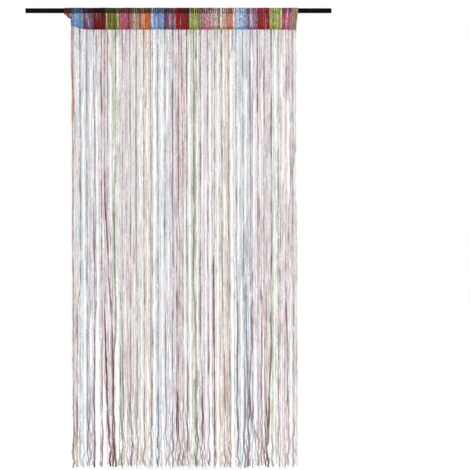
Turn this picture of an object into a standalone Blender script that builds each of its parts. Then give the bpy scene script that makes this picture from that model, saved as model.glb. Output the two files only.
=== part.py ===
"""Sequin string door curtain, hung on a plain round bar.

Metres, +Z up.  The bar runs along X and its axis passes through the origin,
which is the middle of the bar.  The curtain hangs in the XZ plane and its
face looks along -Y.

Three pieces: the bar, the knitted header band that is a tube round the bar,
and the strings, one comb along the band's lower edge.
"""
import math

import bmesh
import bpy

MM = 0.001

# ---------------------------------------------------------------- dimensions
BAR_DIAMETER = 22.0 * MM
BAR_LENGTH = 1.350
BAR_EDGE = 0.6 * MM              # rounding of the bar's cut ends
BAR_SIDES = 40

CLOTH = 1.4 * MM                 # thickness of the knitted band
BAND_EASE = 0.4 * MM             # least space between band and bar
ARC_STEP = 30.0                  # degrees from corner to corner over the bar
BAND_LEFT = -0.4750              # left edge of the band's front, below the bar
BAND_RIGHT = 0.5285              # right edge, at the top of the bar
BAND_DEPTH = 78.5 * MM           # bar axis down to the band's lower edge
BAND_FOOT = 3.4 * MM             # half width of the tube just above that edge
FOOT_AT = 0.88                   # how far down the tube that width is
BAND_STATION = 30.0 * MM         # length of one lofted stretch of the band
RIGHT_LEAN = 9.0 * MM            # how far the right end draws in at its foot

STRING_GAP = 0.4 * MM            # band's lower edge down to the comb
SPINE_HEIGHT = 4.0 * MM          # strip that the strings leave
STRING_DROP = 1.9300             # spine down to the mean string end
STRING_WIDTH = 4.4 * MM
STRING_THICK = 2.0 * MM
STRING_SPACE = 1.0 * MM          # least space between two strings
STRING_SECTIONS = 11             # sections down each string
END_SPREAD = 6.0 * MM            # how uneven the string ends are

SWAY_TOP = 0.8 * MM              # sideways wander of one string, at its head
SWAY_FOOT = 3.6 * MM             # and at its foot
BOW = 4.0 * MM                   # wander to the front and back, at the foot

# The band's left end is turned back round the bar.  Each row is one section:
# its distance from BAND_LEFT, and the depth of the tube there.
#             x mm    depth mm
TURNED_END = (
    (-28.5, 16.6),
    (-22.5, 20.5),
    (-12.0, 32.5),
    (-2.6, 36.5),
    (-0.6, 66.5),
    (10.0, 70.0),
    (18.0, 71.5),
    (30.0, 78.0),
)

# Colour stripes of the band, from its left end: name, left edge, where the
# first string of the stripe hangs, and how many strings it has.  The first
# row is the turned end, whose strings hang bunched behind the blue stripe.
#    stripe     left mm  first mm  strings
STRIPES = (
    ("turned", 0.0, 2.4, 3),
    ("blue", 21.0, 26.0, 3),
    ("purple", 53.0, 59.0, 3),
    ("red", 101.5, 107.0, 4),
    ("green", 160.0, 166.0, 4),
    ("pink", 212.5, 219.0, 4),
    ("beige", 265.0, 272.0, 3),
    ("orange", 313.5, 319.0, 3),
    ("blue", 356.0, 362.0, 4),
    ("purple", 410.5, 417.0, 4),
    ("red", 462.0, 469.0, 4),
    ("green", 517.5, 524.0, 4),
    ("pink", 571.5, 578.0, 4),
    ("beige", 631.0, 637.0, 3),
    ("orange", 674.0, 680.0, 3),
    ("blue", 720.5, 727.0, 4),
    ("purple", 776.0, 782.0, 3),
    ("red", 819.5, 826.0, 4),
    ("green", 878.5, 885.0, 4),
    ("pink", 931.5, 937.0, 3),
    ("beige", 976.0, 980.0, 2),
)
STRIPES_END = 996.0              # mm, right edge of the last string

# Where neighbouring strings draw together (pull above 0) or part (below 0).
# x is the place across the curtain, from and to are depths below the spine,
# reach is how far to the side it is felt.
#      x mm   from mm  to mm  reach mm  pull
GATHERS = (
    (9.0, 240.0, 2100.0, 17.0, 0.62),
    (60.0, 420.0, 980.0, 20.0, -0.55),
    (60.0, 1480.0, 2100.0, 18.0, -0.50),
    (101.0, 690.0, 2100.0, 19.0, 0.50),
    (121.5, 420.0, 2100.0, 27.0, -0.80),
    (148.0, 1240.0, 2100.0, 18.0, -0.55),
    (174.0, 430.0, 860.0, 17.0, -0.60),
    (178.0, 1560.0, 2100.0, 26.0, 0.72),
    (190.0, 700.0, 1240.0, 19.0, 0.60),
    (214.0, 1560.0, 1800.0, 20.0, 0.55),
    (243.0, 1120.0, 1330.0, 17.0, -0.50),
    (309.0, 330.0, 480.0, 16.0, -0.60),
    (309.0, 1130.0, 1450.0, 16.0, -0.60),
    (353.0, 1120.0, 2100.0, 17.0, 0.60),
    (366.0, 20.0, 1300.0, 19.0, -0.65),
    (384.0, 1300.0, 2100.0, 17.0, 0.50),
    (432.0, 860.0, 1450.0, 18.0, -0.60),
    (470.0, 520.0, 2100.0, 23.0, 0.48),
    (492.0, 900.0, 1500.0, 20.0, 0.45),
    (530.0, 1280.0, 2100.0, 19.0, -0.65),
    (552.0, 1500.0, 2100.0, 23.0, 0.55),
    (566.0, 880.0, 1400.0, 19.0, 0.50),
    (618.0, 380.0, 2100.0, 15.0, -0.50),
    (632.0, 900.0, 2100.0, 18.0, 0.55),
    (648.0, 900.0, 2100.0, 15.0, -0.45),
    (685.0, 980.0, 2100.0, 19.0, 0.50),
    (720.0, 880.0, 2100.0, 25.0, -0.85),
    (753.0, 1100.0, 2100.0, 17.0, -0.60),
    (778.0, 1080.0, 2100.0, 26.0, 0.58),
    (817.0, 1450.0, 1860.0, 21.0, -0.60),
    (868.0, 1380.0, 1860.0, 26.0, 0.60),
    (956.0, 1180.0, 1620.0, 18.0, 0.45),
)
GATHER_EASE = 170.0              # mm over which a gather comes and goes


# ------------------------------------------------------------------- helpers
def chance(i, k):
    """A fixed number from 0 to 1 for string i and use k."""
    s = math.sin(i * 12.9898 + k * 78.233 + 4.7) * 43758.5453
    return s - math.floor(s)


def ease(t):
    t = min(1.0, max(0.0, t))
    return t * t * (3.0 - 2.0 * t)


def waves(u, rows):
    """Sum of sines: each row is wavelength, phase and height."""
    return sum(h * math.sin(2.0 * math.pi * u / w + p) for w, p, h in rows)


def material(name, colour, roughness, metallic):
    mat = bpy.data.materials.new(name)
    mat.use_nodes = True
    shader = mat.node_tree.nodes["Principled BSDF"]
    shader.inputs["Base Color"].default_value = (*colour, 1.0)
    shader.inputs["Roughness"].default_value = roughness
    shader.inputs["Metallic"].default_value = metallic
    mat.diffuse_color = (*colour, 1.0)
    return mat


def add_object(name, mesh, collection, mat):
    obj = bpy.data.objects.new(name, mesh)
    collection.objects.link(obj)
    mesh.materials.append(mat)
    return obj


def solidify(obj, thickness, offset):
    mod = obj.modifiers.new("Thickness", "SOLIDIFY")
    mod.thickness = thickness
    mod.offset = offset
    mod.use_even_offset = True
    mod.use_rim = True


# ----------------------------------------------------------- header band
def band_depth(x):
    """Depth of the band's lower edge below the bar's axis, at x."""
    rows = [(BAND_LEFT + mm * MM, depth * MM) for mm, depth in TURNED_END]
    full = BAND_DEPTH + waves(x, ((0.43, 0.6, 0.5 * MM), (0.171, 2.0, 0.3 * MM)))
    if x >= rows[-1][0]:
        return rows[-1][1] + (full - rows[-1][1]) * ease((x - rows[-1][0]) / 0.04)
    for (x0, d0), (x1, d1) in zip(rows, rows[1:]):
        if x <= x1:
            return d0 + (d1 - d0) * max(0.0, (x - x0) / (x1 - x0))
    return full


def band_section(x):
    """Outer outline of the tube at x: (x, y, z) points, once round."""
    # the flats between the outline's corners clear the bar, not only the corners
    radius = (BAR_DIAMETER / 2 + BAND_EASE + CLOTH) / math.cos(math.radians(ARC_STEP / 2))
    depth = band_depth(x)
    slack = 0.6 * MM + waves(x, ((0.118, 0.4, 0.4 * MM), (0.047, 1.3, 0.2 * MM)))
    shape = min(1.0, max(0.0, (depth - 16.0 * MM) / (50.0 * MM)))
    lean = RIGHT_LEAN * ease((x - (BAND_RIGHT - 0.06)) / 0.06)

    def half_width(t):
        round_part = radius * math.sqrt(max(0.0, 1.0 - t * t))
        if t < FOOT_AT:
            taper = radius + (BAND_FOOT - radius) * t / FOOT_AT
        else:
            taper = BAND_FOOT * (1.0 - t) / (1.0 - FOOT_AT)
        return (1.0 - shape) * round_part + shape * taper

    def swell(t, side):
        rows = ((0.163, 0.3 + 2.1 * side, 1.0 * MM), (0.071, 1.1 - side, 0.6 * MM))
        return shape * math.sin(math.pi * t) * (1.2 * MM + waves(x, rows))

    points = []
    for step in range(int(180.0 / ARC_STEP) + 1):
        a = math.radians(180.0 - step * ARC_STEP)
        reach = radius + slack * math.sin(a)
        points.append((x, radius * math.cos(a), reach * math.sin(a)))
    for t in (0.30, 0.62, FOOT_AT):
        points.append((x - lean * t, half_width(t) + swell(t, 1.0), -depth * t))
    points.append((x - lean, 0.0, -depth))
    for t in (FOOT_AT, 0.62, 0.30):
        points.append((x - lean * t, -half_width(t) - swell(t, -1.0), -depth * t))
    return points


def build_band(collection):
    stations = [BAND_LEFT + mm * MM for mm, _ in TURNED_END]
    count = math.ceil((BAND_RIGHT - stations[-1]) / BAND_STATION)
    start = stations[-1]
    stations += [start + (BAND_RIGHT - start) * k / count for k in range(1, count + 1)]

    bm = bmesh.new()
    rings = [[bm.verts.new(p) for p in band_section(x)] for x in stations]
    for ring, after in zip(rings, rings[1:]):
        n = len(ring)
        for k in range(n):
            bm.faces.new((ring[k], after[k], after[(k + 1) % n], ring[(k + 1) % n]))
    bmesh.ops.recalc_face_normals(bm, faces=bm.faces)
    mesh = bpy.data.meshes.new("header")
    bm.to_mesh(mesh)
    bm.free()
    mat = material("header_knit", (0.33, 0.19, 0.20), 0.55, 0.15)
    obj = add_object("header", mesh, collection, mat)
    solidify(obj, CLOTH, -1.0)
    return obj


# --------------------------------------------------------------- strings
def string_heads():
    """Where each string leaves the spine, in mm from the band's left edge."""
    heads = []
    rights = [row[1] for row in STRIPES[1:]] + [STRIPES_END]
    for (name, left, first, strings), right in zip(STRIPES, rights):
        last = right - (4.0 if name == "turned" else 7.0)
        for k in range(strings):
            heads.append(first + (last - first) * k / max(1, strings - 1))
    return heads


def gathered(x, depth):
    """Sideways shift in mm of a string at x mm, at a depth in mm."""
    shift = 0.0
    for centre, top, bottom, reach, pull in GATHERS:
        here = ease((depth - top) / GATHER_EASE)
        here *= 1.0 - ease((depth - bottom) / GATHER_EASE)
        if here > 0.0:
            side = (x - centre) / reach
            shift += pull * (centre - x) * math.exp(-side * side) * here
    return shift


def course(i, head, depth):
    """Place across the curtain, in metres, of string i at a depth in metres."""
    down = depth / STRING_DROP
    sway = SWAY_TOP + (SWAY_FOOT - SWAY_TOP) * down
    wander = waves(depth, (
        (0.95 + 0.5 * chance(i, 1), 6.28 * chance(i, 2), 0.62 * sway),
        (0.42 + 0.2 * chance(i, 3), 6.28 * chance(i, 4), 0.38 * sway),
    )) * ease(down * 8.0)
    return BAND_LEFT + (head + gathered(head, depth / MM)) * MM + wander


def bow(x, depth):
    """How far the strings stand forward or back, in metres."""
    return BOW * ease(depth / STRING_DROP) * waves(x, (
        (0.37, 0.5, 0.55), (0.141, 1.9, 0.45)))


def spaced(places):
    """The same places, moved apart where two strings would touch."""
    pitch = STRING_WIDTH + STRING_SPACE
    places = list(places)
    for _ in range(60):
        for k in range(len(places) - 1):
            lack = pitch - (places[k + 1] - places[k])
            if lack > 0.0:
                places[k] -= lack / 2
                places[k + 1] += lack / 2
    return places


def build_strings(collection):
    heads = string_heads()
    half = STRING_WIDTH / 2
    fractions = [(k / STRING_SECTIONS) ** 0.92 for k in range(STRING_SECTIONS + 1)]
    drops = [STRING_DROP + END_SPREAD * (2.0 * chance(i, 9) - 1.0) for i in range(len(heads))]
    rows = [spaced(course(i, head, STRING_DROP * f) for i, head in enumerate(heads))
            for f in fractions]

    bm = bmesh.new()

    def vert(x, depth, edge):
        return bm.verts.new((x, bow(x, depth), edge - depth))

    # spine: one strip under the band's lower edge, with a cell over each
    # string and one over each space between strings
    tops, bottoms = [], []
    for x in rows[0]:
        for side in (-half, half):
            lowest = max(band_depth(x + side + step * MM) for step in (-6, -3, 0, 3, 6))
            edge = -lowest - STRING_GAP
            tops.append(vert(x + side, 0.0, edge))
            bottoms.append(vert(x + side, 0.0, edge - SPINE_HEIGHT))
    for k in range(len(tops) - 1):
        bm.faces.new((tops[k], bottoms[k], bottoms[k + 1], tops[k + 1]))

    # one ladder of faces for each string
    base = -BAND_DEPTH - STRING_GAP - SPINE_HEIGHT
    for i in range(len(heads)):
        left, right = bottoms[2 * i], bottoms[2 * i + 1]
        for k in range(1, STRING_SECTIONS + 1):
            x, depth = rows[k][i], drops[i] * fractions[k]
            low = (vert(x - half, depth, base), vert(x + half, depth, base))
            bm.faces.new((left, low[0], low[1], right))
            left, right = low
    bmesh.ops.recalc_face_normals(bm, faces=bm.faces)
    mesh = bpy.data.meshes.new("strings")
    bm.to_mesh(mesh)
    bm.free()
    mat = material("string_tinsel", (0.62, 0.52, 0.53), 0.40, 0.35)
    obj = add_object("strings", mesh, collection, mat)
    solidify(obj, STRING_THICK, 0.0)
    return obj


# ------------------------------------------------------------------- bar
def build_bar(collection):
    bpy.ops.mesh.primitive_cylinder_add(
        vertices=BAR_SIDES, radius=BAR_DIAMETER / 2, depth=BAR_LENGTH,
        rotation=(0.0, math.radians(90.0), 0.0))
    bar = bpy.context.object
    bar.name = bar.data.name = "rod"
    for other in list(bar.users_collection):
        other.objects.unlink(bar)
    collection.objects.link(bar)
    bar.data.materials.append(material("rod_black", (0.012, 0.012, 0.013), 0.35, 0.4))
    edge = bar.modifiers.new("Edge", "BEVEL")
    edge.width = BAR_EDGE
    edge.segments = 2
    edge.limit_method = "ANGLE"
    edge.angle_limit = math.radians(60.0)
    bar.data.shade_smooth()
    bar.data.set_sharp_from_angle(angle=math.radians(40.0))
    return bar


def main():
    for obj in list(bpy.data.objects):
        bpy.data.objects.remove(obj, do_unlink=True)
    collection = bpy.data.collections.new("string_curtain")
    bpy.context.scene.collection.children.link(collection)
    build_bar(collection)
    build_band(collection)
    build_strings(collection)


main()
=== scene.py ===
import math

import bpy
import numpy as np
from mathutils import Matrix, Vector


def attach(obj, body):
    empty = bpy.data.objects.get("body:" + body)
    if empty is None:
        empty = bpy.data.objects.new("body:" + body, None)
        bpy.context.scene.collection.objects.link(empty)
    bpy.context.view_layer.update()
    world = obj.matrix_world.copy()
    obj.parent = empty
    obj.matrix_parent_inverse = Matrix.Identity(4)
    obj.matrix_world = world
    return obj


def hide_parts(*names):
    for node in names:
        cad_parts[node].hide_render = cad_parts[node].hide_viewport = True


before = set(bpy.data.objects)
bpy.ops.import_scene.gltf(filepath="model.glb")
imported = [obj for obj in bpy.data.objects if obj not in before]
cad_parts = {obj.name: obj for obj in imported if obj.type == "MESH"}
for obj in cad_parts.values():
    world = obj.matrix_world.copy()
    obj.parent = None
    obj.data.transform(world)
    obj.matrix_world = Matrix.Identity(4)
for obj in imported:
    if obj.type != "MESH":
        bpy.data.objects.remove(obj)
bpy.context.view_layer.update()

MM = 0.001

# ---------------------------------------------------------------- dimensions
ROD_R = 11.0 * MM
BAND_LEFT = -0.4750
BAND_RIGHT = 0.5285
BAND_DEPTH = 84.5 * MM
BAND_FOOT = 3.4 * MM
FOOT_AT = 0.88
RIGHT_LEAN = 9.0 * MM
BAND_R = 12.3 * MM               # middle of the knitted cloth over the rod

STRING_TOP = 0.0835              # depth below the rod's axis where strings start
STRING_DROP = 1.9370
END_SPREAD = 6.0 * MM
SWAY_TOP = 0.5 * MM
SWAY_FOOT = 1.5 * MM
BOW = 4.0 * MM

STITCH = 4.8 * MM                # one chain stitch
MAIN_HALF = 2.90 * MM            # half width of a leading string's knitted core
BESIDE_HALF = 2.30 * MM          # half width of a string beside it
PALE_HALF = 1.60 * MM            # half width of the pale strings in between
BOLD_HALF = 4.10 * MM            # and of a string where it hangs flat and shows most
CORE_THIN = 0.80 * MM            # half thickness
FILM_THIN = 0.12 * MM            # half thickness of the foil tape behind each core
FLAKE_REACH = 7.5 * MM           # how far the longest sequin flakes stand out
FLAKE_DEEP = 5.0 * MM            # and how far to the front or back
FLAKE_HALF = 1.90 * MM           # half their width
FILM_STOPS = 0.26                # share of light that one face of the film stops
STRING_SPACE = 2.6 * MM          # least sideways distance of two strings
THREAD_R = 0.80 * MM             # thin plain thread between the strings

#             x mm    depth mm
TURNED_END = (
    (-28.5, 16.6),
    (-22.5, 20.5),
    (-12.0, 32.5),
    (-2.6, 36.5),
    (-0.6, 66.5),
    (10.0, 70.0),
    (18.0, 71.5),
    (30.0, 78.0),
)

# Colour stripes of the band, left to right.  tone is how light the stripe is,
# its yarn together with painted light that is stronger on the right half, wash
# how much white yarn is in it, over how much of its light is left where it lies
# on the black rod: painted shade, deepest on the left.
#    stripe     left mm  tone  wash  over
STRIPES = (
    ("turned", 0.0, 0.80, 0.00, 0.24),
    ("blue", 21.0, 1.05, 0.08, 0.29),
    ("purple", 53.0, 1.00, 0.04, 0.12),
    ("red", 101.5, 1.20, 0.00, 0.12),
    ("green", 160.0, 1.12, 0.02, 0.26),
    ("pink", 212.5, 1.00, 0.05, 0.25),
    ("beige", 265.0, 1.20, 0.00, 0.26),
    ("orange", 313.5, 0.98, 0.04, 0.22),
    ("blue", 356.0, 1.15, 0.15, 0.32),
    ("purple", 410.5, 1.20, 0.06, 0.31),
    ("red", 462.0, 2.20, 0.01, 0.36),
    ("green", 517.5, 1.65, 0.10, 0.43),
    ("pink", 571.5, 1.05, 0.28, 0.45),
    ("beige", 631.0, 1.15, 0.30, 0.66),
    ("orange", 674.0, 1.08, 0.21, 0.58),
    ("blue", 720.5, 1.25, 0.41, 0.80),
    ("purple", 776.0, 1.50, 0.16, 0.70),
    ("red", 819.5, 1.90, 0.02, 0.95),
    ("green", 878.5, 1.85, 0.12, 0.84),
    ("pink", 931.5, 1.00, 0.07, 0.60),
    ("beige", 976.0, 1.20, 0.00, 1.04),
)

# How far the colours of the strings lie to the right of their stripe, in mm, by
# depth below the band.
SHIFT_AT = (100.0, 400.0, 750.0, 1150.0, 1500.0, 1800.0)
SHIFTS = (
    (0.0, 0.0, 0.0, 0.0, 0.0, 0.0),
    (9.0, 9.0, 9.0, 12.0, 16.0, 22.0),
    (30.0, 14.0, 4.0, 5.0, 9.0, 12.0),
    (7.0, 9.0, 22.0, 33.0, 42.0, 45.0),
    (0.0, 7.0, 11.0, 13.0, 26.0, 31.0),
    (4.0, 11.0, 9.0, 16.0, 13.0, 22.0),
    (0.0, 0.0, 0.0, 0.0, 0.0, 4.0),
    (0.0, 0.0, 0.0, 7.0, 13.0, 11.0),
    (2.0, 0.0, 4.0, 0.0, -4.0, -4.0),
    (7.0, 9.0, 9.0, 9.0, 9.0, -4.0),
    (2.0, -9.0, -11.0, -11.0, -4.0, 4.0),
    (-1.0, -2.0, -3.0, -5.0, -3.0, 7.0),
    (-4.0, -4.0, 0.0, 0.0, -14.0, -16.0),
    (0.0, 0.0, 0.0, -4.0, -8.0, -8.0),
    (-9.0, -4.0, -5.0, -13.0, -16.0, -15.0),
    (4.0, 0.0, 4.0, 11.0, 18.0, 4.0),
    (0.0, 0.0, 0.0, 4.0, 4.0, -10.0),
    (-4.0, -4.0, 0.0, 4.0, 16.0, 13.0),
    (0.0, 0.0, 0.0, -10.0, -18.0, -25.0),
    (-9.0, -9.0, -5.0, -5.0, -9.0, -9.0),
    (0.0, 0.0, 0.0, 0.0, 0.0, 0.0),
)

# How strongly the strings of each stripe show its colour, and how much clearer
# or duller their foil is, each near the band, half way down and at the foot.
#    colour: top middle foot   clear: top middle foot
LIVELY = (
    (1.1, 1.3, 1.1, -0.1, 0.5, 0.1),
    (0.5, 0.6, 0.9, 0.5, 0.7, -0.1),
    (0.3, 0.4, 0.4, 0.7, 0.4, -0.3),
    (0.6, 0.5, 0.9, 0.2, -0.1, -0.1),
    (1.1, 0.3, 0.6, 0.1, 0.1, -0.7),
    (0.6, 0.6, 0.9, 0.4, 0.8, 0.9),
    (0.9, 1.1, 0.8, 0.8, 0.5, 0.3),
    (0.9, 0.7, 0.5, 0.0, 0.6, 0.6),
    (0.2, 0.6, 1.0, 0.5, 0.2, -0.1),
    (0.7, 0.9, 0.7, 0.1, 0.4, 0.3),
    (0.8, 0.5, 0.6, 0.3, 0.0, 0.2),
    (0.9, 0.5, 0.8, 0.6, 0.9, 0.4),
    (0.5, 0.5, 0.6, 0.8, 0.3, -0.1),
    (0.9, 0.9, 1.8, -0.1, -0.1, -0.2),
    (1.1, 0.8, 0.9, 0.2, 0.5, 0.3),
    (0.8, 0.5, 0.8, 0.7, -0.1, -0.1),
    (0.5, 0.9, 0.7, 0.9, 0.3, 0.2),
    (0.7, 0.7, 0.7, 0.3, 0.0, -0.1),
    (0.2, 0.5, 0.8, 0.9, 0.0, -0.6),
    (1.0, 0.9, 0.6, 0.4, 0.0, 0.0),
    (0.6, 0.8, 0.8, 0.3, 0.0, 0.8),
)
LIVELY_AT = (200.0, 900.0, 1750.0)

# Where the strings hang, in mm: a leading string and the fainter one beside it,
# each near the band, half way down and at the foot, and how heavy the two are.
#    leading: top middle foot   beside: top middle foot   heavy: leading, beside
STRINGS = (
    (7.0, 9.0, 11.0, 23.0, 26.0, 26.0, 0.97, 0.40),
    (38.0, 41.0, 43.0, 54.0, 51.0, 54.0, 1.68, 0.56),
    (70.0, 72.0, 75.0, 85.0, 87.0, 85.0, 1.06, 0.82),
    (100.0, 105.0, 103.0, 112.0, 111.0, 112.0, 1.09, 1.79),
    (134.0, 135.0, 138.0, 148.0, 149.0, 168.0, 0.96, 1.40),
    (163.0, 163.0, 185.0, 182.0, 181.0, 192.0, 0.54, 0.88),
    (196.0, 194.0, 200.0, 213.0, 215.0, 220.0, 1.35, 0.69),
    (227.0, 229.0, 229.0, 243.0, 245.0, 252.0, 0.80, 1.38),
    (259.0, 262.0, 262.0, 274.0, 276.0, 275.0, 1.17, 1.00),
    (289.0, 291.0, 294.0, 298.0, 301.0, 307.0, 0.81, 0.61),
    (321.0, 322.0, 325.0, 342.0, 345.0, 340.0, 0.93, 0.63),
    (351.0, 354.0, 356.0, 359.0, 359.0, 361.0, 0.57, 1.85),
    (381.0, 384.0, 386.0, 394.0, 396.0, 397.0, 1.01, 0.61),
    (414.0, 415.0, 419.0, 435.0, 434.0, 432.0, 1.11, 0.44),
    (449.0, 450.0, 449.0, 461.0, 466.0, 466.0, 1.14, 1.01),
    (475.0, 479.0, 474.0, 492.0, 494.0, 494.0, 0.82, 1.21),
    (510.0, 511.0, 517.0, 528.0, 532.0, 521.0, 1.33, 0.53),
    (541.0, 545.0, 550.0, 552.0, 550.0, 564.0, 1.17, 2.20),
    (570.0, 571.0, 580.0, 591.0, 588.0, 591.0, 1.62, 0.40),
    (603.0, 604.0, 609.0, 620.0, 610.0, 613.0, 1.20, 0.50),
    (634.0, 633.0, 637.0, 646.0, 656.0, 660.0, 0.99, 0.72),
    (664.0, 668.0, 672.0, 684.0, 684.0, 687.0, 1.25, 0.76),
    (696.0, 698.0, 702.0, 713.0, 702.0, 706.0, 0.83, 1.53),
    (728.0, 729.0, 740.0, 742.0, 749.0, 746.0, 0.94, 0.44),
    (758.0, 762.0, 767.0, 774.0, 778.0, 779.0, 1.13, 1.00),
    (790.0, 791.0, 791.0, 802.0, 800.0, 802.0, 0.99, 2.13),
    (823.0, 823.0, 827.0, 833.0, 831.0, 841.0, 0.64, 1.40),
    (853.0, 850.0, 858.0, 866.0, 864.0, 865.0, 0.57, 0.98),
    (883.0, 885.0, 878.0, 894.0, 891.0, 888.0, 1.88, 0.56),
    (914.0, 915.0, 916.0, 927.0, 924.0, 923.0, 0.59, 0.91),
    (948.0, 947.0, 942.0, 961.0, 962.0, 960.0, 0.50, 1.80),
    (978.0, 980.0, 984.0, 992.0, 994.0, 996.0, 0.78, 0.98),
)
PLACE_AT = (150.0, 900.0, 1800.0)

# Clear slots where no string or foil hangs, in mm: where a slot is at its top
# and its foot, how wide it is, and its depths below the band.
#    top    foot   wide  from    to
CLEAR = (
    (52.0, 58.0, 7.0, 310.0, 970.0),
    (61.0, 64.0, 6.0, 1020.0, 1945.0),
    (87.0, 87.0, 8.0, 160.0, 520.0),
    (87.0, 89.0, 9.0, 1260.0, 1520.0),
    (112.0, 126.0, 10.0, 280.0, 1945.0),
    (148.0, 155.0, 9.0, 1570.0, 1945.0),
    (174.0, 177.0, 7.0, 170.0, 870.0),
    (205.0, 208.0, 7.0, 40.0, 240.0),
    (206.0, 210.0, 7.0, 1090.0, 1860.0),
    (241.0, 241.0, 6.0, 1170.0, 1340.0),
    (242.0, 242.0, 7.0, 1680.0, 1945.0),
    (280.0, 280.0, 5.0, 210.0, 340.0),
    (281.0, 279.0, 9.0, 1110.0, 1190.0),
    (309.0, 302.0, 9.0, 300.0, 520.0),
    (304.0, 306.0, 7.0, 570.0, 860.0),
    (311.0, 312.0, 7.0, 1170.0, 1840.0),
    (336.0, 332.0, 8.0, 330.0, 550.0),
    (337.0, 337.0, 5.0, 880.0, 1070.0),
    (338.0, 340.0, 8.0, 1420.0, 1770.0),
    (370.0, 364.0, 10.0, 60.0, 380.0),
    (373.0, 370.0, 8.0, 360.0, 1000.0),
    (369.0, 370.0, 8.0, 1080.0, 1945.0),
    (399.0, 401.0, 10.0, 100.0, 650.0),
    (400.0, 406.0, 7.0, 820.0, 1640.0),
    (405.0, 408.0, 10.0, 1700.0, 1945.0),
    (426.0, 426.0, 6.0, 210.0, 420.0),
    (432.0, 432.0, 7.0, 960.0, 1140.0),
    (437.0, 437.0, 7.0, 1370.0, 1540.0),
    (501.0, 506.0, 5.0, 750.0, 1650.0),
    (519.0, 532.0, 8.0, 140.0, 1945.0),
    (556.0, 558.0, 7.0, 340.0, 1450.0),
    (581.0, 581.0, 5.0, 280.0, 770.0),
    (594.0, 598.0, 7.0, 640.0, 1860.0),
    (613.0, 619.0, 9.0, 100.0, 1945.0),
    (650.0, 648.0, 7.0, 100.0, 1945.0),
    (675.0, 675.0, 7.0, 100.0, 410.0),
    (680.0, 679.0, 8.0, 680.0, 910.0),
    (706.0, 717.0, 13.0, 110.0, 1945.0),
    (742.0, 740.0, 7.0, 380.0, 1040.0),
    (752.0, 755.0, 8.0, 1110.0, 1850.0),
    (775.0, 770.0, 7.0, 220.0, 840.0),
    (800.0, 800.0, 7.0, 70.0, 200.0),
    (808.0, 807.0, 9.0, 310.0, 890.0),
    (816.0, 816.0, 8.0, 1380.0, 1760.0),
    (807.0, 808.0, 7.0, 1790.0, 1945.0),
    (835.0, 835.0, 7.0, 410.0, 770.0),
    (842.0, 842.0, 6.0, 210.0, 400.0),
    (850.0, 850.0, 5.0, 1350.0, 1790.0),
    (899.0, 903.0, 10.0, 60.0, 510.0),
    (898.0, 900.0, 6.0, 760.0, 1945.0),
    (931.0, 928.0, 12.0, 150.0, 300.0),
    (938.0, 936.0, 6.0, 290.0, 670.0),
    (929.0, 929.0, 5.0, 1350.0, 1945.0),
    (958.0, 962.0, 12.0, 310.0, 760.0),
    (972.0, 973.0, 7.0, 1350.0, 1945.0),
    (1001.0, 998.0, 13.0, 10.0, 760.0),
)

# Yarns of the band that stand out: lighter, paler or darker streaks.
# slant is how far a streak moves to the right from the rod to the foot.
#    x mm  half mm  slant mm  light  wash
BAND_STREAKS = (
    (3.0, 7.0, 0.0, 0.55, 0.00),
    (20.0, 6.0, 2.0, 1.35, 0.06),
    (42.0, 5.0, 0.0, 0.70, 0.00),
    (59.0, 5.0, 0.0, 0.50, 0.00),
    (76.0, 9.0, 18.0, 1.50, 0.20),
    (103.0, 6.0, 0.0, 0.50, 0.00),
    (150.0, 4.0, 0.0, 0.40, 0.00),
    (159.0, 5.0, 4.0, 1.80, 0.28),
    (176.0, 4.0, 0.0, 0.70, 0.00),
    (192.0, 4.0, 0.0, 0.60, 0.00),
    (208.0, 5.0, 3.0, 1.60, 0.30),
    (241.0, 6.0, 0.0, 1.45, 0.12),
    (260.0, 6.0, 0.0, 0.65, 0.00),
    (269.0, 4.0, 0.0, 0.50, 0.00),
    (285.0, 9.0, 0.0, 1.25, 0.16),
    (304.0, 7.0, 0.0, 0.65, 0.00),
    (321.0, 6.0, 2.0, 1.30, 0.32),
    (361.0, 7.0, 4.0, 1.50, 0.48),
    (417.0, 6.0, 0.0, 0.55, 0.00),
    (436.0, 9.0, 0.0, 1.45, 0.16),
    (459.0, 6.0, 0.0, 1.70, 0.12),
    (519.0, 6.0, 0.0, 0.35, 0.00),
    (527.0, 4.0, 0.0, 1.30, 0.30),
    (547.0, 10.0, 0.0, 1.30, 0.16),
    (576.0, 5.0, 0.0, 0.60, 0.00),
    (598.0, 12.0, 0.0, 1.25, 0.14),
    (622.0, 6.0, 0.0, 1.35, 0.28),
    (640.0, 8.0, 0.0, 1.35, 0.30),
    (652.0, 5.0, 0.0, 0.60, 0.00),
    (665.0, 6.0, 0.0, 1.60, 0.36),
    (680.0, 7.0, 3.0, 1.20, 0.32),
    (719.0, 5.0, 0.0, 1.50, 0.48),
    (735.0, 7.0, 3.0, 1.35, 0.42),
    (780.0, 7.0, 0.0, 0.50, 0.00),
    (798.0, 9.0, 8.0, 1.60, 0.30),
    (852.0, 5.0, 4.0, 1.60, 0.05),
    (866.0, 4.0, 0.0, 0.60, 0.00),
    (881.0, 6.0, 0.0, 1.30, 0.26),
    (906.0, 10.0, 0.0, 1.30, 0.16),
    (926.0, 5.0, 0.0, 1.40, 0.32),
    (953.0, 7.0, -6.0, 1.80, 0.20),
    (985.0, 5.0, 0.0, 0.80, 0.00),
)

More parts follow.
